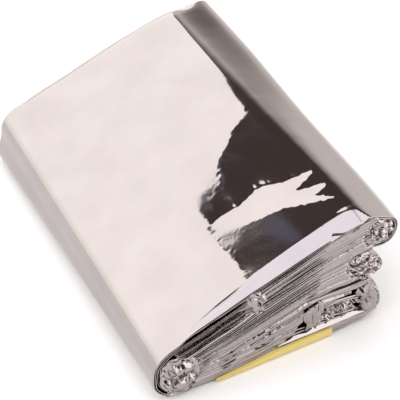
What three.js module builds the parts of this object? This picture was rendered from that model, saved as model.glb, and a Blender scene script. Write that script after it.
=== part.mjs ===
// Folded emergency sleeping bag.
// One sheet of metallised film is folded back and forth into a wedge-shaped packet. The two outer
// leaves wrap round its left side, three bundles of leaves fan out on its right side, and a plain
// label lies under it with its near end turned up over the bottom edge.
// Millimetres. +X runs from the wrapped side to the fanned side, +Y from the near end to the far
// end and +Z up. The origin is on the surface that the packet rests on, at the middle of its box.

import * as THREE from 'three';

// Packet and sheet.
const NEAR_END = -60; // outermost ends of the leaves along Y
const FAR_END = 60.6;
const SHEET = 1; // thickness of one folded leaf, which is several films pressed together
const LEAF_STEPS = 8; // straight stretches along each leaf
const LOOP_STEPS = 5; // straight stretches round a small fold
const MITRE_LIMIT = 0.7; // least cosine of half a corner's turn, so that no corner shoots out
const STATIONS = [0, 2, 5.5, 18, 34, 46, 68, 90, 108, 117.5, 120.6]; // sections, from the near end

// Places along X where the leaf table gives heights.
const PLACES = { wrap: -33, slope: -18, mid: 0, rise: 16, fan: 29 };

// Leaves from the bottom up. left and right are where the leaf meets its folds, the five heights
// are those of its middle surface at the near end, and near and far are how much its edges are
// drawn in from the packet's ends.
const LEAVES = [
  { left: -30, right: 29, wrap: 0.5, slope: 0.5, mid: 0.5, rise: 0.5, fan: 1.6, near: 0.5, far: 0.4 },
  { left: -31, right: 29, wrap: 2.5, slope: 4, mid: 5.8, rise: 6.1, fan: 5, near: 0.9, far: 0.9 },
  { left: -30.8, right: 29, wrap: 4, slope: 6.1, mid: 9.7, rise: 13.6, fan: 11.6, near: 0.3, far: 0.5 },
  { left: -31.2, right: 29, wrap: 5.4, slope: 8.1, mid: 13.4, rise: 17.2, fan: 17.2, near: 0.6, far: 1.1 },
  { left: -32.3, right: 29, wrap: 6.8, slope: 9.9, mid: 15.6, rise: 19.7, fan: 19.9, near: 0.2, far: 0.6 },
  { left: -32.8, right: 29, wrap: 8.2, slope: 11.6, mid: 17.6, rise: 22.1, fan: 22.9, near: 0.7, far: 0.2 },
  { left: -32.4, right: 29, wrap: 9.6, slope: 13.3, mid: 19.5, rise: 24.2, fan: 25.8, near: 1.1, far: 0.8 },
  { left: -32.5, right: 29, wrap: 11, slope: 15.1, mid: 21.4, rise: 26.3, fan: 28.6, near: 0.5, far: 1.2 },
  { left: -33.1, right: 29, wrap: 12.4, slope: 16.9, mid: 23.4, rise: 28.6, fan: 31, near: 0.2, far: 0.5 },
  { left: -31.5, right: 29, wrap: 13.8, slope: 18.7, mid: 25.4, rise: 30.8, fan: 33.3, near: 0.8, far: 0.3 },
  { left: -30.6, right: 29, wrap: 15.2, slope: 20.5, mid: 27.5, rise: 33, fan: 35.6, near: 0.4, far: 0.9 },
  { left: -31.2, right: 29, wrap: 16.6, slope: 22.3, mid: 29.6, rise: 35.2, fan: 37.6, near: 1.2, far: 0.6 },
  { left: -31.6, right: 29, wrap: 18.3, slope: 24.2, mid: 31.7, rise: 37.4, fan: 39.8, near: 0.6, far: 1 },
  { left: -30, right: 27.4, wrap: 19.7, slope: 26.2, mid: 33.7, rise: 39.7, fan: 43.1, near: 0.3, far: 0.2 },
];

// Order in which the sheet runs through the leaves, counted from the bottom, with the side on
// which each leaf ends. The next leaf starts there.
const RUN = [
  { leaf: 7, ends: 'right' },
  { leaf: 6, ends: 'left' },
  { leaf: 5, ends: 'right' },
  { leaf: 8, ends: 'left' },
  { leaf: 9, ends: 'right' },
  { leaf: 14, ends: 'left' },
  { leaf: 1, ends: 'right' },
  { leaf: 4, ends: 'left' },
  { leaf: 3, ends: 'right' },
  { leaf: 2, ends: 'left' },
  { leaf: 13, ends: 'right' },
  { leaf: 12, ends: 'left' },
  { leaf: 11, ends: 'right' },
  { leaf: 10, ends: 'left' },
];

// Shaped folds, named by their lower and upper leaf, as corners of the sheet's middle from the
// lower leaf to the upper one. The other folds are small loops.
const FOLDS = {
  // Outer wrap of the left side: a low chamfer, a flat wall and a rounded shoulder.
  '1-14': [
    { x: -31.4, z: 0.5 }, { x: -33.3, z: 1.2 }, { x: -35.4, z: 2.8 }, { x: -37.1, z: 5.0 },
    { x: -38.0, z: 7.6 }, { x: -38.0, z: 13.4 }, { x: -37.3, z: 15.8 }, { x: -35.6, z: 18.0 },
    { x: -33.2, z: 19.8 },
  ],
  // Second wrap, inside the first.
  '2-13': [
    { x: -33.3, z: 3.1 }, { x: -35.2, z: 4.9 }, { x: -36.5, z: 7.9 },
    { x: -36.5, z: 13.0 }, { x: -35.8, z: 15.2 }, { x: -34.2, z: 17.1 },
  ],
  // Bottom bundle: its outer sheet, and the open-mouthed loop inside it.
  '1-4': [
    { x: 32.4, z: 2.3 }, { x: 34.6, z: 3.6 }, { x: 35.4, z: 5.6 }, { x: 35.2, z: 9.3 },
    { x: 33.6, z: 13.0 }, { x: 31.6, z: 16.1 },
  ],
  '2-3': [
    { x: 31.2, z: 5.3 }, { x: 32.5, z: 6.7 }, { x: 32.3, z: 8.8 }, { x: 31.0, z: 10.6 },
  ],
  // Middle bundle.
  '5-8': [
    { x: 32.0, z: 19.5 }, { x: 33.6, z: 20.2 }, { x: 34.2, z: 21.7 }, { x: 33.3, z: 24.2 },
    { x: 31.4, z: 27.2 },
  ],
  '6-7': [
    { x: 30.2, z: 23.1 }, { x: 31.0, z: 23.9 }, { x: 31.1, z: 24.7 }, { x: 30.4, z: 25.6 },
  ],
  // Top bundle, whose outer sheet rolls off the top.
  '9-14': [
    { x: 32.6, z: 30.6 }, { x: 35.6, z: 30.9 }, { x: 37.3, z: 32.6 }, { x: 37.7, z: 34.9 },
    { x: 37.2, z: 37.4 }, { x: 35.5, z: 39.5 }, { x: 31.6, z: 41.3 },
  ],
  '10-11': [
    { x: 32.4, z: 33.2 }, { x: 33.5, z: 33.7 }, { x: 33.8, z: 34.5 }, { x: 33.3, z: 35.2 },
    { x: 32.2, z: 35.5 },
  ],
  '12-13': [
    { x: 32.4, z: 37.0 }, { x: 33.5, z: 37.3 }, { x: 33.9, z: 38.1 }, { x: 33.4, z: 38.9 },
    { x: 32.2, z: 39.2 },
  ],
};

// Shape along the length.
const FAR_SETTLE = { share: 0.035, fromX: -33, toX: -12 }; // the far end lies lower past the wrap
const FAR_CORNER = { raise: 4, fromX: 27, toX: 37, fullZ: 42 }; // the far right corner lifts
const FAR_ROLL = { reach: 3.8, fromX: 26, toX: 36, fromZ: 28, toZ: 36 }; // and rolls further out
const FAR_FOOT = { // the wrap's foot spreads towards the far end, and its chamfer closes
  reach: 4.4, drop: 1.3, fromX: -29, toX: -35, fromZ: 13, toZ: 0, dropX: [-34, -36.5], dropZ: [0.5, 4],
};
const CROWN = { // the top leaf's middle stands a little higher than its margins
  rise: 1.4, nearMargin: 5.5, farMargin: 4, left: [-32, -27], right: [21, 37], fold: [0.4, 1],
};
const SWELL = { reach: 0.3, fromX: 28, toX: 34, perY: 0.085, perZ: 0.3 }; // uneven bundle ends

// Label under the packet, turned up over the near bottom edge.
const LABEL_THICK = 1;
const LABEL_CLEAR = 0.35; // from the label to the sheet
const LABEL_NEAR = -60.7;
const LABEL_BEND = 1.1; // chamfer of its outer corner, where it turns up
const LABEL_FAR = -26;
const LABEL_ROWS = [ // height of the turned-up lip along X
  { x: -19.5, top: 1.3 },
  { x: -11.5, top: 1.9 },
  { x: 0.5, top: 3.5 },
  { x: 11.0, top: 3.9 },
  { x: 18.5, top: 3.5 },
];
const LABEL_LIFT = { left: [-29, -23], right: [22, 28], back: [-25, -15] }; // sheet over the label

const FILM = { color: 0xcfc8c6, roughness: 0.22, metalness: 0.95 };
const LABEL_FINISH = { color: 0xdcca7c, roughness: 0.6, metalness: 0 };

/** Smooth step from 0 at a to 1 at b. */
function ramp(value, a, b) {
  const t = THREE.MathUtils.clamp((value - a) / (b - a), 0, 1);
  return t * t * (3 - 2 * t);
}

/** 1 inside a stretch, fading to 0 over its two borders, each given as [outer, inner]. */
function stretch(value, left, right) {
  return ramp(value, left[0], left[1]) * (1 - ramp(value, right[0], right[1]));
}

/** Height of a leaf's middle at x: a smooth curve through its table heights, with no overshoot. */
function leafHeight(leaf, x) {
  const names = Object.keys(PLACES);
  const xs = names.map((name) => PLACES[name]);
  const zs = names.map((name) => leaf[name]);
  const secant = (i) => (zs[i + 1] - zs[i]) / (xs[i + 1] - xs[i]);
  const last = xs.length - 1;
  const slope = (i) => {
    if (i === 0) return secant(0);
    if (i === last) return secant(last - 1);
    const [before, after] = [secant(i - 1), secant(i)];
    return before * after > 0 ? (2 * before * after) / (before + after) : 0;
  };
  if (x <= xs[0]) return zs[0] + slope(0) * (x - xs[0]);
  if (x >= xs[last]) return zs[last] + slope(last) * (x - xs[last]);
  const i = xs.findIndex((_, k) => k < last && x <= xs[k + 1]);
  const width = xs[i + 1] - xs[i];
  const t = (x - xs[i]) / width;
  return (2 * t ** 3 - 3 * t ** 2 + 1) * zs[i] + (t ** 3 - 2 * t ** 2 + t) * width * slope(i)
    + (3 * t ** 2 - 2 * t ** 3) * zs[i + 1] + (t ** 3 - t ** 2) * width * slope(i + 1);
}

/** Points along one leaf, running towards the side on which it ends. */
function leafPoints(number, ends) {
  const leaf = LEAVES[number - 1];
  const [start, stop] = ends === 'right' ? [leaf.left, leaf.right] : [leaf.right, leaf.left];
  return Array.from({ length: LEAF_STEPS + 1 }, (_, i) => {
    const x = start + ((stop - start) * i) / LEAF_STEPS;
    const crown = number === LEAVES.length ? 1 : 0;
    return { x, z: leafHeight(leaf, x), leaf: number, crown, near: leaf.near, far: leaf.far };
  });
}

/** Points between two leaves, without the leaves' own ends: a table's corners or a half circle. */
function foldPoints(last, next) {
  const key = `${Math.min(last.leaf, next.leaf)}-${Math.max(last.leaf, next.leaf)}`;
  let corners = FOLDS[key];
  if (!corners) {
    const middle = new THREE.Vector2(last.x + next.x, last.z + next.z).divideScalar(2);
    const spoke = new THREE.Vector2(last.x, last.z).sub(middle);
    const turn = (spoke.y > 0 ? Math.PI : -Math.PI) / LOOP_STEPS; // bulging away from the leaves
    corners = Array.from({ length: LOOP_STEPS - 1 }, (_, i) => {
      const point = spoke.clone().rotateAround(new THREE.Vector2(), turn * (i + 1)).add(middle);
      return { x: point.x, z: point.y };
    });
  } else if (next.leaf < last.leaf) {
    corners = [...corners].reverse();
  }
  return corners.map((corner, i) => {
    const t = (i + 1) / (corners.length + 1);
    return {
      ...corner,
      leaf: 0,
      crown: ramp(THREE.MathUtils.lerp(last.crown, next.crown, t), ...CROWN.fold),
      near: THREE.MathUtils.lerp(last.near, next.near, t),
      far: THREE.MathUtils.lerp(last.far, next.far, t),
    };
  });
}

/** The middle line of the folded sheet at the near end, from one free edge to the other. */
function middleLine() {
  const line = [];
  RUN.forEach(({ leaf, ends }) => {
    const points = leafPoints(leaf, ends);
    if (line.length > 0) line.push(...foldPoints(line[line.length - 1], points[0]));
    line.push(...points);
  });
  return line;
}

/** One point of the middle line at a station: settled, raised, spread and swollen as there. */
function placed(point, station) {
  const along = station / (FAR_END - NEAR_END);
  const y = THREE.MathUtils.lerp(NEAR_END + point.near, FAR_END - point.far, along);
  const swell = SWELL.reach * Math.sin(SWELL.perY * y + SWELL.perZ * point.z);
  const roll = FAR_ROLL.reach * along * ramp(point.x, FAR_ROLL.fromX, FAR_ROLL.toX)
    * ramp(point.z, FAR_ROLL.fromZ, FAR_ROLL.toZ);
  const high = 1 - ramp(point.z, FAR_FOOT.toZ, FAR_FOOT.fromZ);
  const foot = FAR_FOOT.reach * along * high * (1 - ramp(point.x, FAR_FOOT.toX, FAR_FOOT.fromX));
  const x = point.x + swell * ramp(point.x, SWELL.fromX, SWELL.toX) + roll - foot;
  const corner = FAR_CORNER.raise * along * (point.z / FAR_CORNER.fullZ) ** 2;
  const settle = FAR_SETTLE.share * along * ramp(point.x, FAR_SETTLE.fromX, FAR_SETTLE.toX);
  const drop = FAR_FOOT.drop * along * high * ramp(point.z, ...FAR_FOOT.dropZ)
    * ramp(-point.x, -FAR_FOOT.dropX[0], -FAR_FOOT.dropX[1]);
  const ends = ramp(y, NEAR_END, NEAR_END + CROWN.nearMargin)
    * (1 - ramp(y, FAR_END - CROWN.farMargin, FAR_END));
  let z = SHEET / 2 + (point.z - SHEET / 2) * (1 - settle) - drop
    + corner * ramp(point.x, FAR_CORNER.fromX, FAR_CORNER.toX)
    + CROWN.rise * ends * point.crown * stretch(point.x, CROWN.left, CROWN.right);
  if (point.leaf === 1) {
    z += (LABEL_THICK + LABEL_CLEAR) * (1 - ramp(y, ...LABEL_LIFT.back))
      * stretch(point.x, LABEL_LIFT.left, LABEL_LIFT.right);
  }
  return { x, y, z };
}

/** Both faces of the sheet at a station, half a thickness to each side of the middle line. */
function facesAt(line, station) {
  const points = line.map((point) => placed(point, station));
  const directions = points.slice(1).map((point, i) => (
    new THREE.Vector2(point.x - points[i].x, point.z - points[i].z).normalize()));
  const left = [];
  const right = [];
  points.forEach((point, i) => {
    const before = directions[Math.max(i - 1, 0)];
    const after = directions[Math.min(i, directions.length - 1)];
    const mean = before.clone().add(after).normalize();
    const half = SHEET / 2 / Math.max(mean.dot(before), MITRE_LIMIT);
    left.push(new THREE.Vector3(point.x - mean.y * half, point.y, point.z + mean.x * half));
    right.push(new THREE.Vector3(point.x + mean.y * half, point.y, point.z - mean.x * half));
  });
  return { left, right };
}

/** A named mesh from a list of coordinates and a list of corner numbers, three to a triangle. */
function meshOf(positions, triangles, name, finish) {
  const geometry = new THREE.BufferGeometry();
  geometry.setAttribute('position', new THREE.Float32BufferAttribute(positions, 3));
  geometry.setIndex(triangles);
  geometry.computeVertexNormals();
  const mesh = new THREE.Mesh(geometry, new THREE.MeshStandardMaterial(finish));
  mesh.name = name;
  return mesh;
}

/** The folded sheet: its two faces, its near and far edges and its two free ends. */
function foldedBag() {
  const line = middleLine();
  const count = line.length;
  const positions = [];
  STATIONS.forEach((station) => {
    const { left, right } = facesAt(line, station);
    [...left, ...right].forEach((p) => positions.push(p.x, p.y, p.z));
  });
  const at = (ring, side, i) => ring * 2 * count + side * count + i;
  const triangles = [];
  const quad = (a, b, c, d) => triangles.push(a, b, c, a, c, d);
  const lastRing = STATIONS.length - 1;
  for (let i = 0; i < count - 1; i += 1) {
    for (let ring = 0; ring < lastRing; ring += 1) {
      quad(at(ring, 0, i), at(ring, 0, i + 1), at(ring + 1, 0, i + 1), at(ring + 1, 0, i));
      quad(at(ring, 1, i + 1), at(ring, 1, i), at(ring + 1, 1, i), at(ring + 1, 1, i + 1));
    }
    quad(at(0, 0, i + 1), at(0, 0, i), at(0, 1, i), at(0, 1, i + 1));
    quad(at(lastRing, 0, i), at(lastRing, 0, i + 1), at(lastRing, 1, i + 1), at(lastRing, 1, i));
  }
  for (let ring = 0; ring < lastRing; ring += 1) {
    quad(at(ring, 1, 0), at(ring, 0, 0), at(ring + 1, 0, 0), at(ring + 1, 1, 0));
    const end = count - 1;
    quad(at(ring, 0, end), at(ring, 1, end), at(ring + 1, 1, end), at(ring + 1, 0, end));
  }
  return meshOf(positions, triangles, 'folded_bag', FILM);
}

/** The label: a plate under the packet and a lip up its near edge, as one L-shaped loft. */
function label() {
  const inner = LABEL_NEAR + LABEL_THICK;
  const positions = [];
  LABEL_ROWS.forEach(({ x, top }) => {
    const section = [
      [LABEL_NEAR + LABEL_BEND, 0], [LABEL_FAR, 0], [LABEL_FAR, LABEL_THICK],
      [inner, LABEL_THICK], [inner, top], [LABEL_NEAR, top], [LABEL_NEAR, LABEL_BEND],
    ];
    section.forEach(([y, z]) => positions.push(x, y, z));
  });
  const corners = positions.length / 3 / LABEL_ROWS.length;
  const triangles = [];
  for (let row = 0; row < LABEL_ROWS.length - 1; row += 1) {
    for (let i = 0; i < corners; i += 1) {
      const [a, b] = [row * corners + i, row * corners + ((i + 1) % corners)];
      triangles.push(a, b, b + corners, a, b + corners, a + corners);
    }
  }
  const caps = [[0, 1, 2], [0, 2, 3], [0, 3, 6], [3, 4, 6], [4, 5, 6]];
  const end = (LABEL_ROWS.length - 1) * corners;
  caps.forEach(([a, b, c]) => {
    triangles.push(a, c, b);
    triangles.push(end + a, end + b, end + c);
  });
  return meshOf(positions, triangles, 'label', LABEL_FINISH);
}

const packet = new THREE.Group();
packet.add(foldedBag(), label());
const box = new THREE.Box3().setFromObject(packet);
packet.position.set(-(box.min.x + box.max.x) / 2, -(box.min.y + box.max.y) / 2, 0);

export default packet;
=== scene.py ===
"""Folded emergency sleeping bag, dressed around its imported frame.

A packet of metallised film lies on a pale floor. Every leaf of the packet is a pair of films, so the
film is carried twice along the packet's folding run, a little to each side of its middle line. Sizes
here are in millimetres, and they become metres where a mesh is made.
"""

import logging
import math
from dataclasses import dataclass, field
from enum import Enum

import bpy
import numpy as np
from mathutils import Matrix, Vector

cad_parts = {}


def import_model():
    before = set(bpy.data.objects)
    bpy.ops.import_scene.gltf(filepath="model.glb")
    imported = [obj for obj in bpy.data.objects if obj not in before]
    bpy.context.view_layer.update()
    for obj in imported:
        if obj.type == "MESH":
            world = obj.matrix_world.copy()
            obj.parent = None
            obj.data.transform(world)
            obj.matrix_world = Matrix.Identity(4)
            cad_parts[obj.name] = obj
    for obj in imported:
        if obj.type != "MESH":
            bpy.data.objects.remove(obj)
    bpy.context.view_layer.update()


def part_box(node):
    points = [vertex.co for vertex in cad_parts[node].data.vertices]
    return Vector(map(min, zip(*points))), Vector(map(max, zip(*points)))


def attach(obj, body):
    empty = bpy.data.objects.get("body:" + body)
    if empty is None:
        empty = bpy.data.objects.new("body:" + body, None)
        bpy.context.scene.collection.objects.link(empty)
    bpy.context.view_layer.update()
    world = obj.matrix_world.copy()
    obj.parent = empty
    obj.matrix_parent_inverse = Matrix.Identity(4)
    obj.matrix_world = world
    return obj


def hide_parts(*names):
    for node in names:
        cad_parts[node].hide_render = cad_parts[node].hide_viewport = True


LOG = logging.getLogger("packet")
MM = 0.001  # one millimetre in metres
NEAR_END = -60.0
FAR_END = 60.6
FOOT_X = -40.56  # outermost place of the solid's wrap, in the folding run's own frame

Pair = tuple[float, float]
Band = tuple[float, float, float, float]  # a band's two soft borders
Triple = tuple[float, float, float]
Outline = tuple[tuple[float, float], ...]
Numbers = tuple[float, ...]
Value = float | Numbers | bpy.types.NodeSocket


class Side(Enum):
    """The side of the packet on which a leaf ends, as the sheet runs through it."""

    LEFT = -1
    RIGHT = 1


@dataclass(frozen=True)
class Leaf:
    """One leaf: where it meets its folds, five heights at the near end and how far it is drawn in."""

    left: float
    right: float
    heights: Numbers
    near: float
    far: float


# Places along X where a leaf's heights are given.
PLACES = np.array([-33.0, -18.0, 0.0, 16.0, 29.0])

# Leaves from the bottom up.
LEAVES = (
    Leaf(-30, 29, (0.5, 0.5, 0.5, 0.5, 1.6), 0.5, 0.4),
    Leaf(-31, 29, (2.5, 4, 5.8, 6.1, 5), 0.9, 0.9),
    Leaf(-30.8, 29, (4, 6.1, 9.7, 13.6, 11.6), 0.3, 0.5),
    Leaf(-31.2, 29, (5.4, 8.1, 13.4, 17.2, 17.2), 0.6, 1.1),
    Leaf(-32.3, 29, (6.8, 9.9, 15.6, 19.7, 19.9), 0.2, 0.6),
    Leaf(-32.8, 29, (8.2, 11.6, 17.6, 22.1, 22.9), 0.7, 0.2),
    Leaf(-32.4, 29, (9.6, 13.3, 19.5, 24.2, 25.8), 1.1, 0.8),
    Leaf(-32.5, 29, (11, 15.1, 21.4, 26.3, 28.6), 0.5, 1.2),
    Leaf(-33.1, 29, (12.4, 16.9, 23.4, 28.6, 31), 0.2, 0.5),
    Leaf(-31.5, 29, (13.8, 18.7, 25.4, 30.8, 33.3), 0.8, 0.3),
    Leaf(-30.6, 29, (15.2, 20.5, 27.5, 33, 35.6), 0.4, 0.9),
    Leaf(-31.2, 29, (16.6, 22.3, 29.6, 35.2, 37.6), 1.2, 0.6),
    Leaf(-31.6, 29, (18.3, 24.2, 31.7, 37.4, 39.8), 0.6, 1),
    Leaf(-30, 27.4, (19.7, 26.2, 33.7, 39.7, 43.1), 0.3, 0.2),
)
TOP_LEAF = len(LEAVES)
BOTTOM_LEAF = 1

# Order in which the sheet runs through the leaves, with the side on which each one ends.
RUN = (
    (7, Side.RIGHT), (6, Side.LEFT), (5, Side.RIGHT), (8, Side.LEFT), (9, Side.RIGHT),
    (14, Side.LEFT), (1, Side.RIGHT), (4, Side.LEFT), (3, Side.RIGHT), (2, Side.LEFT),
    (13, Side.RIGHT), (12, Side.LEFT), (11, Side.RIGHT), (10, Side.LEFT),
)

# Shaped folds by lower and upper leaf, as corners (x, z) from the lower leaf to the upper one.
FOLDS = {
    (1, 14): ((-31.4, 0.5), (-33.3, 1.2), (-35.4, 2.8), (-37.1, 5), (-38, 7.6), (-38, 13.4),
              (-37.3, 15.8), (-35.6, 18), (-33.2, 19.8)),
    (2, 13): ((-33.3, 3.1), (-35.2, 4.9), (-36.5, 7.9), (-36.5, 13), (-35.8, 15.2), (-34.2, 17.1)),
    (1, 4): ((32.4, 2.3), (34.6, 3.6), (35.4, 5.6), (35.2, 9.3), (33.6, 13), (31.6, 16.1)),
    (2, 3): ((31.2, 5.3), (32.5, 6.7), (32.3, 8.8), (31, 10.6)),
    (5, 8): ((32, 19.5), (33.6, 20.2), (34.2, 21.7), (33.3, 24.2), (31.4, 27.2)),
    (6, 7): ((30.2, 23.1), (31, 23.9), (31.1, 24.7), (30.4, 25.6)),
    (9, 14): ((32.6, 30.6), (35.6, 30.9), (37.3, 32.6), (37.7, 34.9), (37.2, 37.4), (35.5, 39.5),
              (31.6, 41.3)),
    (10, 11): ((32.4, 33.2), (33.5, 33.7), (33.8, 34.5), (33.3, 35.2), (32.2, 35.5)),
    (12, 13): ((32.4, 37), (33.5, 37.3), (33.9, 38.1), (33.4, 38.9), (32.2, 39.2)),
}


def ramp(value: np.ndarray, start: float, stop: float) -> np.ndarray:
    """Smooth step from 0 at start to 1 at stop: 3t squared minus 2t cubed."""
    t = np.clip((value - start) / (stop - start), 0.0, 1.0)
    return t * t * (3.0 - 2.0 * t)


def stretch(value: np.ndarray, left: Pair, right: Pair) -> np.ndarray:
    """1 inside a stretch, fading to 0 over its two borders, each (outer, inner) or (inner, outer)."""
    return ramp(value, *left) * (1.0 - ramp(value, *right))


def linear(hex_colour: str) -> Numbers:
    """Turn an sRGB hex colour into linear RGBA.

    Args:
        hex_colour: six hex digits.

    Returns:
        Red, green and blue by the sRGB curve, and an alpha of 1.
    """
    values = np.array([int(hex_colour[i:i + 2], 16) for i in (0, 2, 4)]) / 255.0
    low, high = values / 12.92, ((values + 0.055) / 1.055) ** 2.4
    red, green, blue = np.where(values <= 0.04045, low, high)
    return float(red), float(green), float(blue), 1.0


def add_node(tree: bpy.types.NodeTree, kind: str, settings: dict[str, str] | None = None,
             **inputs: Value) -> bpy.types.Node:
    """Add a node with its settings, and give its inputs values or links.

    Args:
        tree: the node tree.
        kind: the node's type name.
        settings: the node's own properties.
        inputs: values or output sockets by input name, with _ for a space, or in0, in1 by number.

    Returns:
        The new node.
    """
    node = tree.nodes.new(kind)
    for name, value in (settings or {}).items():
        setattr(node, name, value)
    for name, value in inputs.items():
        numbered = name.startswith("in") and name[2:].isdigit()
        socket = node.inputs[int(name[2:]) if numbered else name.replace("_", " ")]
        if isinstance(value, bpy.types.NodeSocket):
            tree.links.new(value, socket)
        else:
            socket.default_value = value
    return node


@dataclass(frozen=True)
class Waves:
    """Unevenness of about -1 to 1: a mean of waves in seeded directions.

    Sine waves make it smooth. Triangle waves make crumpled foil, whose flat facets meet in sharp creases.
    """

    seed: int
    length: float
    count: int = 7
    shares: Pair = (0.7, 1.6)
    sharp: bool = False

    def at(self, u: np.ndarray, v: np.ndarray) -> np.ndarray:
        """Height at (u, v), with wave lengths between the two shares of the given one.

        A triangle wave is the arcsine of a sine, scaled to -1 to 1.

        Args:
            u: first places.
            v: second places.

        Returns:
            Heights, as many as there are places.
        """
        rng = np.random.default_rng(self.seed)
        total = np.zeros(np.broadcast(u, v).shape)
        for _ in range(self.count):
            angle, phase = rng.uniform(0, math.tau, 2)
            pace = math.tau / (self.length * rng.uniform(*self.shares))
            wave = np.sin(pace * (u * math.cos(angle) + v * math.sin(angle)) + phase)
            total += np.arcsin(wave) * (2.0 / math.pi) if self.sharp else wave
        return total / math.sqrt(self.count)


def inside_distance(x: np.ndarray, y: np.ndarray, outline: np.ndarray) -> np.ndarray:
    """Distance to a closed outline, positive inside it and negative outside.

    The distance is the least over the outline's straight sides, and the sign follows the number of
    sides that a line towards +X crosses.

    Args:
        x: places along X.
        y: places along Y.
        outline: corners, one row (x, y) each.

    Returns:
        The signed distance at each place.
    """
    nearest = np.full(np.broadcast(x, y).shape, np.inf)
    odd = np.zeros(nearest.shape, bool)
    for (ax, ay), (bx, by) in zip(outline, np.roll(outline, -1, axis=0)):
        dx, dy = bx - ax, by - ay
        t = np.clip(((x - ax) * dx + (y - ay) * dy) / max(dx * dx + dy * dy, 1e-9), 0.0, 1.0)
        nearest = np.minimum(nearest, np.hypot(x - ax - t * dx, y - ay - t * dy))
        if dy != 0.0:
            crosses = ((ay > y) != (by > y)) & (x < ax + (y - ay) * dx / dy)
            odd ^= crosses
    return np.where(odd, nearest, -nearest)


def soft_positive(value: np.ndarray, width: float) -> np.ndarray:
    """The value where it is well above 0 and 0 well below, rounded over a width: a soft ramp."""
    return 0.5 * (value + np.sqrt(value * value + width * width))


def leaf_height(leaf: Leaf, x: np.ndarray) -> np.ndarray:
    """Height of a leaf's middle: a cubic through its table heights with harmonic-mean slopes.

    Args:
        leaf: the leaf.
        x: places along X.

    Returns:
        Heights at the near end.
    """
    heights = np.array(leaf.heights, float)
    secants = np.diff(heights) / np.diff(PLACES)
    before, after = secants[:-1], secants[1:]
    rising = before * after > 0
    total = np.where(rising, before + after, 1.0)
    slopes = np.concatenate(([secants[0]], np.where(rising, 2 * before * after / total, 0.0),
                             [secants[-1]]))
    i = np.clip(np.searchsorted(PLACES, x) - 1, 0, len(PLACES) - 2)
    width = PLACES[i + 1] - PLACES[i]
    reach = (x - PLACES[i]) / width
    t = np.clip(reach, 0.0, 1.0)
    curve = ((2 * t**3 - 3 * t**2 + 1) * heights[i] + (t**3 - 2 * t**2 + t) * width * slopes[i]
             + (3 * t**2 - 2 * t**3) * heights[i + 1] + (t**3 - t**2) * width * slopes[i + 1])
    end_slope = np.where(reach < 0, slopes[i], slopes[i + 1])
    return curve + (reach - t) * width * end_slope


def soften(values: np.ndarray, spread: float, step: float) -> np.ndarray:
    """Running mean of evenly spaced values with a bell weight.

    Args:
        values: the values.
        spread: spread of the bell.
        step: distance between two values, in the spread's unit.

    Returns:
        As many values, softened.
    """
    reach = int(math.ceil(3 * spread / step))
    bell = np.exp(-0.5 * (np.arange(-reach, reach + 1) * step / spread) ** 2)
    padded = np.pad(values, reach, mode="reflect", reflect_type="odd")
    return np.convolve(padded, bell / bell.sum(), mode="valid")


def rounded(corners: np.ndarray, step: float) -> np.ndarray:
    """A smooth curve through corners, by cubic pieces whose slopes are those of the neighbours.

    Args:
        corners: points (x, z), one row each.
        step: greatest distance between the returned points.

    Returns:
        Points of the curve from the first corner up to, but without, the last.
    """
    ends = np.vstack((2 * corners[0] - corners[1], corners, 2 * corners[-1] - corners[-2]))
    pieces = []
    for a, b, c, d in zip(ends[:-3], ends[1:-2], ends[2:-1], ends[3:]):
        count = max(2, int(math.ceil(np.linalg.norm(c - b) / step)))
        t = (np.arange(count) / count)[:, None]
        pieces.append(0.5 * (2 * b + (c - a) * t + (2 * a - 5 * b + 4 * c - d) * t**2
                             + (3 * b - a - 3 * c + d) * t**3))
    return np.vstack(pieces)


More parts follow.
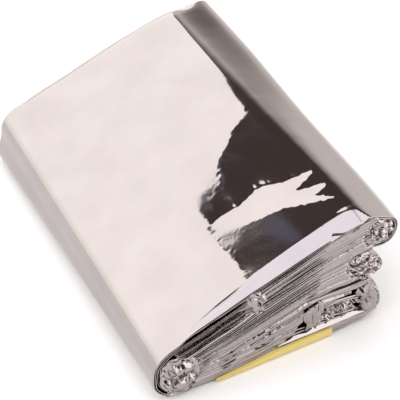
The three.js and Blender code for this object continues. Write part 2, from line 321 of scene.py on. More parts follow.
@dataclass
class FoldLine:
    """The packet's folding run at the near end: its middle line with what goes along with it."""

    step: float = 0.2
    fold_spread: float = 0.35
    leaf_spread: float = 2.2
    turn_points: int = 9
    room_least: float = 1.12
    room_most: float = 2.1
    fold_room: float = 1.3
    number_slack: float = 0.02
    crown_fold: Pair = (0.4, 1.0)
    leaf_border: float = 1.5
    wide_rise: float = 1.5  # how fast the wider softening takes over from a leaf's border on
    even_spread: float = 0.8
    shoulder_spread: float = 2.2
    shoulder_x: tuple[Pair, Pair] = ((20.0, 25.0), (31.0, 35.0))
    length: np.ndarray = field(init=False)
    rows: dict[str, np.ndarray] = field(init=False)

    def __post_init__(self) -> None:
        """Lay the leaves and folds end to end, even out the steps and soften the line."""
        parts: list[dict[str, np.ndarray]] = []
        for place, (number, ends) in enumerate(RUN):
            parts.append(self._leaf(number, ends))
            if place + 1 < len(RUN):
                parts.append(self._fold(number, ends, RUN[place + 1][0]))
        raw = {key: np.concatenate([part[key] for part in parts]) for key in parts[0]}
        walked = np.concatenate(([0.0], np.cumsum(np.hypot(np.diff(raw["x"]), np.diff(raw["z"])))))
        self.length = np.arange(0.0, walked[-1], self.step)
        even = {key: np.interp(self.length, walked, value) for key, value in raw.items()}
        on_leaf = soften(even["leaf"], self.leaf_border, self.step)[None] ** 2
        line = np.vstack((even["x"], even["z"]))
        tight = np.vstack([soften(row, self.fold_spread, self.step) for row in line])
        wide = np.vstack([soften(row, self.leaf_spread, self.step) for row in line])
        line = tight + (wide - tight) * np.clip(on_leaf * self.wide_rise - (self.wide_rise - 1.0), 0.0, 1.0)
        loose = np.vstack([soften(row, self.shoulder_spread, self.step) for row in line])
        on_top = soften(even["crown"], self.even_spread, self.step)
        line = line + (loose - line) * stretch(even["x"], *self.shoulder_x) * on_top
        even["x"], even["z"] = line
        heading = np.gradient(line, self.step, axis=1)
        heading /= np.linalg.norm(heading, axis=0)
        even["nx"], even["nz"] = -heading[1], heading[0]
        for key in ("near", "far", "room_left", "room_right", "crown", "bottom", "number"):
            even[key] = soften(even[key], self.even_spread, self.step)
        self.rows = even

    def _rooms(self, number: int, x: np.ndarray) -> tuple[np.ndarray, np.ndarray]:
        """Distances to the leaves below and above, limited to what a pair of films can fill.

        Args:
            number: the leaf's number from the bottom.
            x: places along X.

        Returns:
            The room below and the room above at each place.
        """
        here = leaf_height(LEAVES[number - 1], x)
        outer = np.full(len(x), self.fold_room)
        below = here - leaf_height(LEAVES[number - 2], x) if number > BOTTOM_LEAF else outer
        above = leaf_height(LEAVES[number], x) - here if number < TOP_LEAF else outer
        least, most = self.room_least, self.room_most
        return np.clip(below, least, most), np.clip(above, least, most)

    def _leaf(self, number: int, ends: Side) -> dict[str, np.ndarray]:
        """The middle line of one leaf, running towards the side on which it ends.

        Args:
            number: the leaf's number from the bottom.
            ends: the side on which it ends.

        Returns:
            Rows of places and of what goes along with them.
        """
        leaf = LEAVES[number - 1]
        start, stop = (leaf.left, leaf.right) if ends is Side.RIGHT else (leaf.right, leaf.left)
        x = np.linspace(start, stop, int(abs(stop - start) / self.step))
        below, above = self._rooms(number, x)
        left, right = (above, below) if ends is Side.RIGHT else (below, above)
        flat = np.ones(len(x))
        return {
            "x": x, "z": leaf_height(leaf, x), "leaf": flat, "near": flat * leaf.near,
            "far": flat * leaf.far, "room_left": left, "room_right": right,
            "crown": flat * (number == TOP_LEAF), "bottom": flat * (number == BOTTOM_LEAF),
            "number": flat * number,
        }

    def _fold(self, number: int, ends: Side, following: int) -> dict[str, np.ndarray]:
        """The middle line of the fold from one leaf to the next, a table's corners or half a circle.

        Args:
            number: the leaf that ends in the fold.
            ends: the side on which it ends.
            following: the leaf that starts from the fold.

        Returns:
            The same rows as a leaf's.
        """
        here, there = LEAVES[number - 1], LEAVES[following - 1]
        x_here, x_there = (here.right, there.right) if ends is Side.RIGHT else (here.left, there.left)
        start = np.array([x_here, leaf_height(here, np.array(x_here))])
        stop = np.array([x_there, leaf_height(there, np.array(x_there))])
        corners = FOLDS.get((min(number, following), max(number, following)))
        if corners is None:
            middle, spoke = (start + stop) / 2, (start - stop) / 2
            turn = np.linspace(0.0, math.pi, self.turn_points)[1:-1, None]
            bulge = np.array([-abs(spoke[1]), 0.0])
            inner = middle + spoke * np.cos(turn) + bulge * np.sin(turn)
        else:
            inner = np.array(corners if following > number else corners[::-1], float)
        points = rounded(np.vstack((start, inner, stop)), self.step)[1:]
        t = np.linspace(0.0, 1.0, len(points) + 2)[1:-1]
        none = np.zeros(len(points))
        into_top = t if following == TOP_LEAF else 1.0 - t if number == TOP_LEAF else none
        return {
            "x": points[:, 0], "z": points[:, 1], "leaf": none,
            "near": here.near + (there.near - here.near) * t,
            "far": here.far + (there.far - here.far) * t,
            "room_left": none + self.fold_room, "room_right": none + self.fold_room,
            "crown": ramp(into_top, *self.crown_fold), "bottom": none,
            "number": number + (following - number) * t,
        }

    def span(self, number: int) -> Pair:
        """Find where a leaf lies on the line, apart from its softened ends.

        Args:
            number: the leaf's number from the bottom.

        Returns:
            Lengths along the line at which it starts and stops.
        """
        on_leaf = self.rows["leaf"] > 0.5
        own = (np.abs(self.rows["number"] - number) < self.number_slack) & on_leaf
        at = self.length[own]
        return float(at.min()), float(at.max())


@dataclass
class Packet:
    """What moves every point of the packet: it settles, lifts at a corner and clears its label."""

    shift: float
    floor_leaf: float = 0.5  # height of the lowest leaf's middle, which stays
    settle_share: float = 0.035
    settle_x: Pair = (-33.0, -12.0)
    corner_raise: float = 4.0
    corner_x: Pair = (27.0, 37.0)
    corner_full: float = 42.0
    roll_reach: float = 3.8
    roll_x: Pair = (26.0, 36.0)
    roll_z: Pair = (28.0, 36.0)
    foot_reach: float = 4.4
    foot_drop: float = 1.3
    foot_x: Pair = (-35.0, -29.0)
    foot_z: Pair = (0.0, 13.0)
    foot_drop_x: Pair = (-36.5, -34.0)
    foot_drop_z: Pair = (0.5, 4.0)
    swell_reach: float = 0.3
    swell_x: Pair = (28.0, 34.0)
    swell_pace: Pair = (0.085, 0.3)
    crown_rise: float = 1.4
    crown_far: float = 4.0
    crown_left: Pair = (-32.0, -27.0)
    crown_right: Pair = (21.0, 37.0)
    label_room: float = 1.35
    label_left: Pair = (-29.0, -23.0)
    label_right: Pair = (22.0, 28.0)
    label_back: Pair = (-25.0, -15.0)

    def place(self, x: np.ndarray, y: np.ndarray, z: np.ndarray, crown: np.ndarray,
              bottom: np.ndarray) -> tuple[np.ndarray, np.ndarray]:
        """Move points of the near section to where they lie at y.

        Args:
            x: places along X of the near section.
            y: places along Y.
            z: heights in the near section.
            crown: 1 on the top leaf, falling to 0 round its fold.
            bottom: 1 on the bottom leaf.

        Returns:
            The new x and z.
        """
        along = (y - NEAR_END) / (FAR_END - NEAR_END)
        pace_y, pace_z = self.swell_pace
        swell = self.swell_reach * np.sin(pace_y * y + pace_z * z) * ramp(x, *self.swell_x)
        corner = self.corner_raise * along * (z / self.corner_full) ** 2
        settle = self.settle_share * along * ramp(x, *self.settle_x)
        height = self.floor_leaf + (z - self.floor_leaf) * (1.0 - settle) + corner * ramp(x, *self.corner_x)
        within = stretch(x, self.crown_left, self.crown_right)
        within = within * (1.0 - ramp(y, FAR_END - self.crown_far, FAR_END))
        height = height + self.crown_rise * within * crown
        clear = stretch(x, self.label_left, self.label_right) * (1.0 - ramp(y, *self.label_back))
        height = height + self.label_room * clear * bottom
        low = along * (1.0 - ramp(z, *self.foot_z))
        foot = self.foot_reach * low * (1.0 - ramp(x, *self.foot_x))
        drop = self.foot_drop * low * ramp(z, *self.foot_drop_z) * (1.0 - ramp(x, *self.foot_drop_x))
        roll = self.roll_reach * along * ramp(x, *self.roll_x) * ramp(z, *self.roll_z)
        return x + swell + roll - foot + self.shift, height - drop


@dataclass(frozen=True)
class Facet:
    """An area of the top that leans: its outline (x, y), its slope along Y and its soft, ragged border."""

    outline: Outline
    slope: float  # above 0 it rises towards the near end and turns to the light
    soft: float = 0.2
    ragged: float = 0.0
    fade: float = 10.0  # distance over which the film comes down again beyond the area
    near_fade: float = 1.0  # distance within which the border's own raggedness shows
    spread: float = 1.6  # spread along X of what lies beyond that

    def height(self, x: np.ndarray, y: np.ndarray, grain: np.ndarray) -> np.ndarray:
        """Height over a grid with columns along X and rows along Y.

        Each bit of the area lowers what lies farther by its slope, less and less with distance: minus
        the slope times the exponent of minus that distance along Y over the fade. Beyond a short fade
        the area is softened along X first.

        Args:
            x: places of the columns.
            y: places of the rows.
            grain: unevenness of the border on that grid, about -1 to 1.

        Returns:
            Heights, rows by columns.
        """
        inside = inside_distance(x[None], y[:, None], np.array(self.outline, float))
        area = ramp(inside + self.ragged * grain, -self.soft, self.soft)
        apart, aside = y[:, None] - y[None], x[:, None] - x[None]
        bell = np.exp(-0.5 * (aside / self.spread) ** 2)
        short, wide = (np.where(apart > 0, np.exp(-np.maximum(apart, 0) / fade), 0)
                       for fade in (self.near_fade, self.fade))
        drop = short @ area + (wide - short) @ (area @ (bell / bell.sum(axis=0)))
        return -self.slope * drop * (y[1] - y[0])


@dataclass
class TopRelief:
    """Soft creases of the top sheet, as heights added to it, so small that only reflections show them."""

    slack: float = 0.045
    slack_reach: float = 9.0
    ridge: float = 0.02
    ridge_reach: float = 6.0
    slack_round: float = 0.4
    slack_outline: Outline = (
        (25.7, 75), (25.6, 50), (24.8, 42), (24.3, 30), (23.8, 20), (23, 12), (22, 5), (21.7, 0),
        (20.2, -3.4), (14.2, -6), (11.4, -9.6), (7, -12.6),
        (4.8, -15), (3.8, -20), (2.5, -22.5), (-0.5, -24), (-2.7, -25.8), (-3.5, -29), (-5.5, -30.4),
        (-8.2, -32.4), (-9, -35), (-8.6, -38.6), (-7.8, -46), (-8, -51), (-8.6, -54), (-8, -75),
        (70, -75), (70, 75),
    )
    margin_slope: float = 0.27
    margin_round: float = 0.25
    groove_depth: float = 0.45
    groove_width: float = 0.3
    groove_x: Pair = (-14.0, -4.0)
    margin_x: Numbers = (-40, -29, -27.8, -23.6, -17.9, -8, -4, 4.7, 13.3, 22.9, 25.9, 27.7, 40)
    margin_y: Numbers = (-62, -60.2, -59.3, -57.8, -56.9, -56.2, -55.6, -55.1, -54.6, -54.2,
                                   -54.6, -59.8, -70)
    facets: tuple[Facet, ...] = (
        Facet(((-6.6, -32.8), (-5, -31.6), (-2, -31.2), (1, -31.5), (3.4, -31.6), (6, -30.6), (9, -29.6),
               (11, -29.6), (13, -31), (18, -33.3), (22.5, -34.3), (23.9, -35.8), (21, -37), (17.3, -38.2),
               (20.5, -39.8), (24.5, -41.4), (24.2, -42.6), (20, -43.6), (22.5, -46), (25.4, -49.3),
               (20, -46.6), (15, -44), (11, -41.6), (5, -40.2), (0, -38.5), (-3, -36.5), (-5.5, -34.6)),
              0.165, 0.2, 0.25),
        Facet(((20.8, -53.3), (23, -52.4), (25.6, -52.5), (25.8, -53.6), (23, -54)), 0.16, 0.2, 0.0, 3.0),
    )
    ripple: Waves = Waves(11, 26.0)
    ripple_depth: float = 0.03
    fine: Waves = Waves(12, 5.0)
    fine_depth: float = 0.0035
    brush: Waves = Waves(13, 1.6, 9)
    brush_depth: float = 0.008  # roughness of the slack's border
    brush_reach: float = 1.6
    brush_y: Pair = (-2.0, 2.0)
    step: float = 0.12
    reach: Pair = (-44.0, 44.0)
    past_end: float = 2.0
    last_cell: float = 1.001  # cells held back from the grid's last point, so that one more follows
    height: np.ndarray = field(init=False)

    def __post_init__(self) -> None:
        """Work the relief out once on an even grid over the top."""
        x = np.arange(self.reach[0], self.reach[1], self.step)
        y = np.arange(NEAR_END - self.past_end, FAR_END + self.past_end, self.step)
        inside = inside_distance(x[None], y[:, None], np.array(self.slack_outline, float))
        deep, clear = soft_positive(inside, self.slack_round), soft_positive(-inside, self.slack_round)
        height = -self.slack * self.slack_reach * (1.0 - np.exp(-deep / self.slack_reach))
        height -= self.ridge * self.ridge_reach * (1.0 - np.exp(-clear / self.ridge_reach))
        grain = self.brush.at(x[None], y[:, None])
        brushed = np.exp(-((inside / self.brush_reach) ** 2)) * (1.0 - ramp(y, *self.brush_y))[:, None]
        height += self.brush_depth * grain * brushed
        for facet in self.facets:
            height += facet.height(x, y, grain)
        crease = np.interp(x, self.margin_x, self.margin_y)[None]
        height -= self.margin_slope * soft_positive(crease - y[:, None], self.margin_round)
        groove = np.exp(-(((crease - y[:, None]) / self.groove_width) ** 2))
        height -= self.groove_depth * groove * (1.0 - ramp(x, *self.groove_x))[None]
        height += self.ripple_depth * self.ripple.at(x[None], y[:, None])
        self.height = height + self.fine_depth * self.fine.at(x[None], y[:, None])

    def at(self, x: np.ndarray, y: np.ndarray) -> np.ndarray:
        """Height added to the top sheet at (x, y): the grid's, straight between its points.

        Args:
            x: places along X.
            y: places along Y.

        Returns:
            Heights in millimetres.
        """
        rows, columns = self.height.shape
        across = np.clip((x - self.reach[0]) / self.step, 0, columns - self.last_cell)
        along = np.clip((y - (NEAR_END - self.past_end)) / self.step, 0, rows - self.last_cell)
        i, j = along.astype(int), across.astype(int)
        p, q = along - i, across - j
        low = self.height[i, j] * (1 - q) + self.height[i, j + 1] * q
        high = self.height[i + 1, j] * (1 - q) + self.height[i + 1, j + 1] * q
        return low * (1 - p) + high * p


def outward(points: np.ndarray, faces: np.ndarray) -> np.ndarray:
    """Turn a closed body's faces outwards: its volume, summed over its faces, has to be positive.

    Args:
        points: one row (x, y, z) each.
        faces: one row of four corner numbers each.

    Returns:
        The faces, all turned over where the volume was negative.
    """
    a, b, c, d = (points[faces[:, i]] - points.mean(axis=0) for i in range(4))
    volume = np.einsum("ij,ij->", a, np.cross(b, c)) + np.einsum("ij,ij->", a, np.cross(c, d))
    return faces if volume > 0 else faces[:, ::-1]


def make_mesh(name: str, points: np.ndarray, faces: np.ndarray,
              material: bpy.types.Material) -> bpy.types.Object:
    """Make a smooth-shaded mesh object at the origin from whole arrays, with its faces outwards.

    Args:
        name: the piece's name.
        points: one row (x, y, z) each, in millimetres.
        faces: one row of four corner numbers each.
        material: its finish.

    Returns:
        The new object, linked to the scene.
    """
    mesh = bpy.data.meshes.new(name)
    mesh.vertices.add(len(points))
    mesh.vertices.foreach_set("co", (points * MM).astype(np.float32).ravel())
    mesh.loops.add(faces.size)
    mesh.loops.foreach_set("vertex_index", faces.astype(np.int32).ravel())
    mesh.polygons.add(len(faces))
    mesh.polygons.foreach_set("loop_start", np.arange(0, faces.size, 4, dtype=np.int32))
    mesh.polygons.foreach_set("use_smooth", np.ones(len(faces), bool))
    mesh.update()
    mesh.validate()
    mesh.materials.append(material)
    piece = bpy.data.objects.new(name, mesh)
    bpy.context.scene.collection.objects.link(piece)
    LOG.info("%s: %d vertices, %d faces", name, len(points), len(faces))
    return piece


def ring_faces(rows: int, ring: int) -> np.ndarray:
    """Quads of a tube of closed rings, row after row, with both open ends closed by quads.

    Args:
        rows: how many rings there are.
        ring: points in a ring, an even number, the second half running back over the first.

    Returns:
        Corner numbers, one row of four for each face.
    """
    i, j = np.meshgrid(np.arange(rows - 1), np.arange(ring), indexing="ij")
    k = (j + 1) % ring
    sides = np.stack((i * ring + j, (i + 1) * ring + j, (i + 1) * ring + k, i * ring + k), -1)
    j = np.arange(ring // 2 - 1)
    first = np.stack((j, j + 1, ring - 2 - j, ring - 1 - j), -1)
    last = first[:, ::-1] + (rows - 1) * ring
    return np.vstack((sides.reshape(-1, 4), first, last))


def thin_sheet(face: np.ndarray, thick: float) -> np.ndarray:
    """Give a face grid a second face behind it, a thickness away along its normals.

    Args:
        face: points of the front face, rows by columns by (x, y, z), in millimetres.
        thick: distance between the two faces.

    Returns:
        Rings of points, one to a row: the front face's row and then the back's, run backwards.
    """
    along, across = np.gradient(face, axis=0), np.gradient(face, axis=1)
    normal = np.cross(along, across)
    normal /= np.maximum(np.linalg.norm(normal, axis=2, keepdims=True), 1e-9)
    if normal[..., 1].sum() > 0:
        normal = -normal
    return np.concatenate((face, (face - normal * thick)[:, ::-1]), axis=1)


def face_area(face: np.ndarray) -> float:
    """Area of a face grid: half the length of the cross product of each cell's two diagonals."""
    first, second = face[1:, 1:] - face[:-1, :-1], face[:-1, 1:] - face[1:, :-1]
    return float(np.linalg.norm(np.cross(first, second), axis=2).sum() / 2)


@dataclass
class Film:
    """One film carried along a stretch of the folding run, to one side of its middle line."""

    name: str
    side: int
    start: float
    stop: float
    stations: np.ndarray
    step: float = 0.9
    dense: Triple | None = None
    outer: bool = False
    thick: float = 0.45
    outer_face: float = 0.5  # distance of the outer film's outside from the middle line
    room_share: float = 0.31  # share of the room beside the line that is the film's thickness
    thick_limits: Pair = (0.36, 0.62)
    offset_share: float = 0.25
    end_depth: float = 0.42
    end_steps: int = 7

    def lengths(self, line: FoldLine) -> np.ndarray:
        """Lengths along the run at which a ring is made: even steps, finer in the dense stretch.

        Args:
            line: the folding run.

        Returns:
            Lengths from the film's start to its stop.
        """
        pace = np.full(len(line.length), self.step)
        if self.dense is not None:
            low, high, fine = self.dense
            shown = (line.length > low) & (line.length < high)
            pace[shown] = fine
        inside = (line.length >= self.start) & (line.length <= self.stop)
        s, pace = line.length[inside], pace[inside]
        count = np.concatenate(([0.0], np.cumsum(np.diff(s) / pace[:-1])))
        return np.interp(np.linspace(0.0, count[-1], int(count[-1]) + 1), count, s)

    def build(self, line: FoldLine, packet: Packet, relief: TopRelief, edge: "LeafEnds",
              material: bpy.types.Material) -> bpy.types.Object:
        """Make the film's mesh: a thin closed strip with rounded near and far ends.

        Each ring runs along Y on the film's outer face, round its far end in half an ellipse, back on
        its inner face and round its near end. The two faces lie half a thickness to each side of the
        film's own line, which is offset from the run's middle line along its normal.

        Args:
            line: the folding run.
            packet: what moves every point of the packet.
            relief: the creases of the top.
            edge: how unevenly the leaves end.
            material: the film's finish.

        Returns:
            The film.
        """
        s = self.lengths(line)
        row = {key: np.interp(s, line.length, value)[:, None] for key, value in line.rows.items()}
        room = row["room_left"] if self.side > 0 else row["room_right"]
        slim = 1.0 - edge.slim(row)
        thick = np.clip(room * self.room_share, *self.thick_limits) * slim
        offset = room * self.offset_share * slim
        if self.outer:
            thick = np.full_like(thick, self.thick)
            offset = np.full_like(offset, self.outer_face - self.thick / 2)
        near_in, far_in, lean = edge.at(s[:, None], row, self.side)
        turn = np.linspace(0.0, math.pi, self.end_steps + 2)[1:-1]
        mid = self.stations / (FAR_END - NEAR_END)
        across = np.concatenate((-np.ones(len(mid)), -np.cos(turn), np.ones(len(mid)), np.cos(turn)))[None]
        out = np.concatenate((0 * mid, np.sin(turn), 0 * mid, -np.sin(turn)))[None] * self.end_depth
        share = np.concatenate((mid, np.ones(len(turn)), mid[::-1], np.zeros(len(turn))))[None]
        near = NEAR_END + row["near"] + near_in + self.end_depth
        far = FAR_END - row["far"] - far_in - self.end_depth
        y = near + (far - near) * share + out
        from_near = np.maximum(y - near, 0.0)
        bend = lean * np.exp(-((from_near / edge.lean_reach) ** 2))
        normal = self.side * offset + across * thick / 2 + bend
        x = row["x"] + normal * row["nx"] + 0 * y
        z = row["z"] + normal * row["nz"]
        x, z = packet.place(x, y, z, row["crown"], row["bottom"])
        creases = relief.at(row["x"], y)
        z = z + row["crown"] * (creases if self.outer else np.minimum(creases, 0.0))
        points = np.stack((x, y, z), -1).reshape(-1, 3)
        return make_mesh(self.name, points, outward(points, ring_faces(len(s), share.size)), material)


@dataclass(frozen=True)
class FilmPlan:
    """Which films there are, and where along the packet their rings have points.

    The outer film runs from the middle of leaf 9, over the top and round the left side, to the middle
    of leaf 4. The other films share the rest of the run.
    """

    splits: tuple[int, int] = (9, 4)
    from_end: Numbers = (0.0, 0.4, 1.0, 2.0, 3.5, 6.0, 10.0, 18.0, 34.0)
    near_stretches: tuple[Triple, ...] = ((0.2, 7.0, 0.2), (7.2, 64.0, 0.47))
    far_start: float = 65.0
    far_step: float = 1.6
    far_margin: float = 1.0
    before_far_end: Numbers = (0.6, 0.25, 0.0)
    outer_step: float = 1.6
    top_before: float = 9.0  # stretch of the run with the top's fine steps, from the start of its leaf
    top_after: float = 37.0
    top_step: float = 0.42

    def coarse(self, total: float) -> np.ndarray:
        """Places from the near end, close together at both ends only."""
        from_end = np.array(self.from_end)
        return np.concatenate((from_end, [total / 2], total - from_end[::-1]))

    def fine(self, total: float) -> np.ndarray:
        """Places from the near end, close together where the top's creases are.

        Args:
            total: the packet's length.

        Returns:
            Places in rising order.
        """
        near = [np.arange(*stretch_steps) for stretch_steps in self.near_stretches]
        far = np.arange(self.far_start, total - self.far_margin, self.far_step)
        return np.concatenate(([0.0], *near, far, total - np.array(self.before_far_end)))

    def films(self, line: FoldLine) -> list[Film]:
        """List the films.

        Args:
            line: the folding run.

        Returns:
            The outer film and the three others.
        """
        total = FAR_END - NEAR_END
        fine, coarse, end = self.fine(total), self.coarse(total), line.length[-1]
        split_in, split_out = (sum(line.span(number)) / 2 for number in self.splits)
        top = line.span(TOP_LEAF)[0]
        dense = (top - self.top_before, top + self.top_after, self.top_step)
        return [
            Film("outer_film", -1, split_in, split_out, fine, self.outer_step, dense, True),
            Film("inner_film", 1, 0.0, end, coarse),
            Film("upper_leaves", -1, 0.0, split_in, coarse),
            Film("lower_leaves", -1, split_out, end, coarse),
        ]


@dataclass
class LeafEnds:
    """How unevenly the leaves end: how far each is drawn in, and how its last millimetres lean."""

    draw: float = 0.55
    waver: float = 0.12
    near_waves: tuple[Waves, Waves] = (Waves(21, 70.0, 5), Waves(22, 9.0))
    far_waves: tuple[Waves, Waves] = (Waves(23, 70.0, 5), Waves(24, 12.0))
    lean_waves: Waves = Waves(25, 40.0, 5)
    apart: float = 40.0  # how far apart the two films of a leaf read the waves
    lean: float = 0.16
    lean_reach: float = 4.0
    slim_leaf: Pair = (9.2, 9.8)
    slim_x: Pair = (-12.0, -4.0)
    slim_share: float = 0.45
    band_leaf: Band = (4.4, 4.8, 6.2, 6.6)
    band_x: Band = (-24.0, -16.0, 8.0, 14.0)
    band_depth: float = 0.7
    notch_x: Triple = (15.8, 16.4, 20.0)
    notch_depth: float = 1.5

    def slim(self, row: dict[str, np.ndarray]) -> np.ndarray:
        """Share by which films are thinner, in the fan of open gaps on the left below the top."""
        in_fan = ramp(row["number"], *self.slim_leaf) * (1.0 - ramp(row["x"], *self.slim_x))
        return self.slim_share * in_fan * (1.0 - row["crown"])

    def drawn(self, waves: tuple[Waves, Waves], s: np.ndarray, own: float) -> np.ndarray:
        """Draw-in along the run: a slow wave from 0 to the draw, and a short waver on it."""
        slow, short = waves
        return self.draw * (1 + slow.at(s, own)) / 2 + self.waver * short.at(s, own)

    def band(self, leaf: np.ndarray, x: np.ndarray) -> np.ndarray:
        """1 in the smooth band at half height, where no single leaf edge shows."""
        return (stretch(leaf, self.band_leaf[:2], self.band_leaf[2:])
                * stretch(x, self.band_x[:2], self.band_x[2:]))

    def at(self, s: np.ndarray, row: dict[str, np.ndarray], side: int) -> tuple[np.ndarray, ...]:
        """Unevenness of the ends along the run.

        Args:
            s: lengths along the run.
            row: the run's rows at those lengths.
            side: 1 or -1, the side of the middle line on which the film lies.

        Returns:
            The draw-in at the near end, that at the far end and the lean.
        """
        own = self.apart * side
        near, far = (self.drawn(waves, s, own) for waves in (self.near_waves, self.far_waves))
        lean = self.lean * self.lean_waves.at(s, own)
        inner = 1.0 - row["crown"] * (side < 0)
        x = row["x"]
        start, full, stop = self.notch_x
        notch = ramp(x, start, full) * (1 - ramp(x, full, stop)) * row["crown"] * (side < 0)
        near = np.maximum(near, 0.0) * inner + self.notch_depth * notch
        near = near + self.band_depth * self.band(row["number"], x)
        return near, np.maximum(far, 0.0), lean * inner


def join_sheets(name: str, sheets: list[tuple[str, np.ndarray, float]],
                material: bpy.types.Material) -> tuple[bpy.types.Object, float]:
    """Make one piece of several thin sheets.

    Args:
        name: the piece's name.
        sheets: each sheet's name, face grid and thickness, in millimetres.
        material: its finish.

    Returns:
        The piece, and the area of its faces in square millimetres.
    """
    points, quads, start = [], [], 0
    for part, face, thick in sheets:
        LOG.info("%s holds %s", name, part)
        rings = thin_sheet(face, thick)
        points.append(rings.reshape(-1, 3))
        quads.append(outward(points[-1], ring_faces(*rings.shape[:2])) + start)
        start += len(points[-1])
    piece = make_mesh(name, np.vstack(points), np.vstack(quads), material)
    return piece, sum(face_area(face) for _, face, _ in sheets)


@dataclass
class LeafEdges:
    """Near edges of the many leaves between the modelled ones, as one finely pleated sheet."""

    name: str = "leaf_edges"
    columns: int = 118
    pleats: float = 2.0  # edges from one modelled leaf to the next
    rows: int = 330
    foot_x: Numbers = (-34.5, -4.0, 2.0, 11.0, 23.0, 30.5)
    foot_leaf: Numbers = (1.15, 1.2, 1.75, 3.1, 3.5, 3.6)
    top_leaf: float = 13.72
    recess: float = 0.8
    ridge: float = 0.6
    uneven: float = 0.45
    apart: float = 31.0  # how far apart two edges read the unevenness, so that they differ
    edge_sharp: float = 0.7  # below 1, the edges are blunt and the gaps narrow
    waver: float = 0.09
    fan_leaf: Pair = (9.7, 10.3)
    fan_x: Pair = (-14.0, -6.0)
    fan_recess: float = 1.5
    fan_smooth: float = 0.75
    band_smooth: float = 0.85
    open_gaps: Numbers = (4.5, 8.5)  # between the bundles on the right
    gap_width: float = 0.16
    gap_x: Pair = (6.0, 26.0)
    groove: float = 3.2
    behind_wad: float = 2.2
    wad_border: float = 0.8
    least_depth: float = 0.15
    waver_waves: Waves = Waves(41, 16.0)
    uneven_waves: Waves = Waves(42, 45.0, 5)
    leaf_apart: float = 3.0  # how far apart two leaves read the waver
    thick: float = 0.12

    def face(self, packet: Packet, ends: LeafEnds, wads: tuple["Crumpled", ...]) -> np.ndarray:
        """The pleated face: its depth is a ridge to each leaf edge, deeper in the gaps that stand open.

        Args:
            packet: what moves every point of the packet.
            ends: where the leaf edges lie smooth.
            wads: the crumpled wads, behind which the sheet falls back.

        Returns:
            Points, rows upwards by columns along X.
        """
        x = np.linspace(self.foot_x[0], self.foot_x[-1], self.columns)[None]
        share = np.linspace(0.0, 1.0, self.rows)[:, None]
        foot = np.interp(x, self.foot_x, self.foot_leaf)
        leaf = foot + (self.top_leaf - foot) * share
        heights = np.vstack([leaf_height(one, x[0]) for one in LEAVES])
        below = np.clip(np.floor(leaf).astype(int), 1, TOP_LEAF - 1)
        part = leaf - below
        column = np.broadcast_to(np.arange(self.columns), leaf.shape)
        z = heights[below - 1, column] * (1 - part) + heights[below, column] * part
        order = (leaf + self.waver * self.waver_waves.at(x, self.leaf_apart * leaf)) * self.pleats
        own = np.floor(order)
        ridge = np.abs(np.sin(math.pi * order)) ** self.edge_sharp
        fan = ramp(leaf, *self.fan_leaf) * (1 - ramp(x, *self.fan_x))
        rough = (1.0 - self.band_smooth * ends.band(leaf, x)) * (1.0 - self.fan_smooth * fan)
        depth = (self.recess - self.ridge * ridge * rough
                 + self.uneven * rough * self.uneven_waves.at(x, self.apart * own))
        depth = depth + self.fan_recess * fan
        for gap in self.open_gaps:
            open_gap = np.exp(-((leaf - gap) / self.gap_width) ** 2)
            depth = depth + self.groove * open_gap * ramp(x, *self.gap_x)
        for wad in wads:
            inside = inside_distance(x + 0 * z, z, np.array(wad.outline, float))
            depth = depth + self.behind_wad * ramp(inside, 0.0, self.wad_border)
        y = NEAR_END + np.maximum(depth, self.least_depth)
        x, z = packet.place(x + 0 * leaf, y, z, 0.0, 0.0)
        return np.stack((x, y, z), -1)


@dataclass(frozen=True)
class Crumpled:
    """A wad of crumpled film that fills an open end: its outline (x, z) at the near end and its depth."""

    name: str
    outline: Outline
    seed: int
    facet: float = 2.2
    relief: float = 0.55
    recess: float = 0.5
    droop: float = 1.6  # how far the rim falls back
    stretch_up: float = 1.0  # above 1, the facets run up and down
    front: float = -0.9  # foremost place
    rim_power: int = 8  # the higher, the narrower the plain rim
    droop_power: int = 5
    slip_share: float = 0.35  # share of the relief by which facets slide over each other
    cells: int = 64
    thick: float = 0.12
    creases: int = 6
    shares: Pair = (1.2, 3.0)

    def face(self, packet: Packet) -> np.ndarray:
        """The wad's face: a square grid drawn out to the outline, with flat facets as its relief.

        A grid point's distance from the middle is the outline's in its direction, times the greater
        of its two square coordinates.

        Args:
            packet: what moves every point of the packet.

        Returns:
            Points, rows by columns.
        """
        u, v = np.meshgrid(np.linspace(-1, 1, self.cells), np.linspace(-1, 1, self.cells), indexing="ij")
        reach = np.maximum(np.abs(u), np.abs(v))
        corners = np.array(self.outline, float)
        middle = corners.mean(axis=0)
        spokes = corners - middle
        bearing = np.unwrap(np.arctan2(spokes[:, 1], spokes[:, 0]))
        order = np.argsort(np.mod(bearing, math.tau))
        turn = np.mod(bearing, math.tau)[order]
        radius = np.hypot(spokes[:, 0], spokes[:, 1])[order]
        turn = np.concatenate((turn - math.tau, turn, turn + math.tau))
        angle = np.mod(np.arctan2(v, u), math.tau)
        length = np.interp(angle, turn, np.tile(radius, 3)) * reach
        x, z = middle[0] + length * np.cos(angle), middle[1] + length * np.sin(angle)
        front, sideways, upwards = (Waves(self.seed + i, self.facet, self.creases, self.shares, True)
                                    for i in range(3))
        crumple = front.at(x, z / self.stretch_up)
        inner = 1.0 - reach**self.rim_power
        y = NEAR_END + self.recess + self.relief * crumple * inner + self.droop * reach**self.droop_power
        y = np.maximum(y, NEAR_END + self.front)
        slip = self.slip_share * self.relief / self.stretch_up * inner
        x = x + slip * sideways.at(x, z)
        z = z + slip * upwards.at(x, z)
        x, z = packet.place(x, y, z, 0.0, 0.0)
        return np.stack((x, y, z), -1)


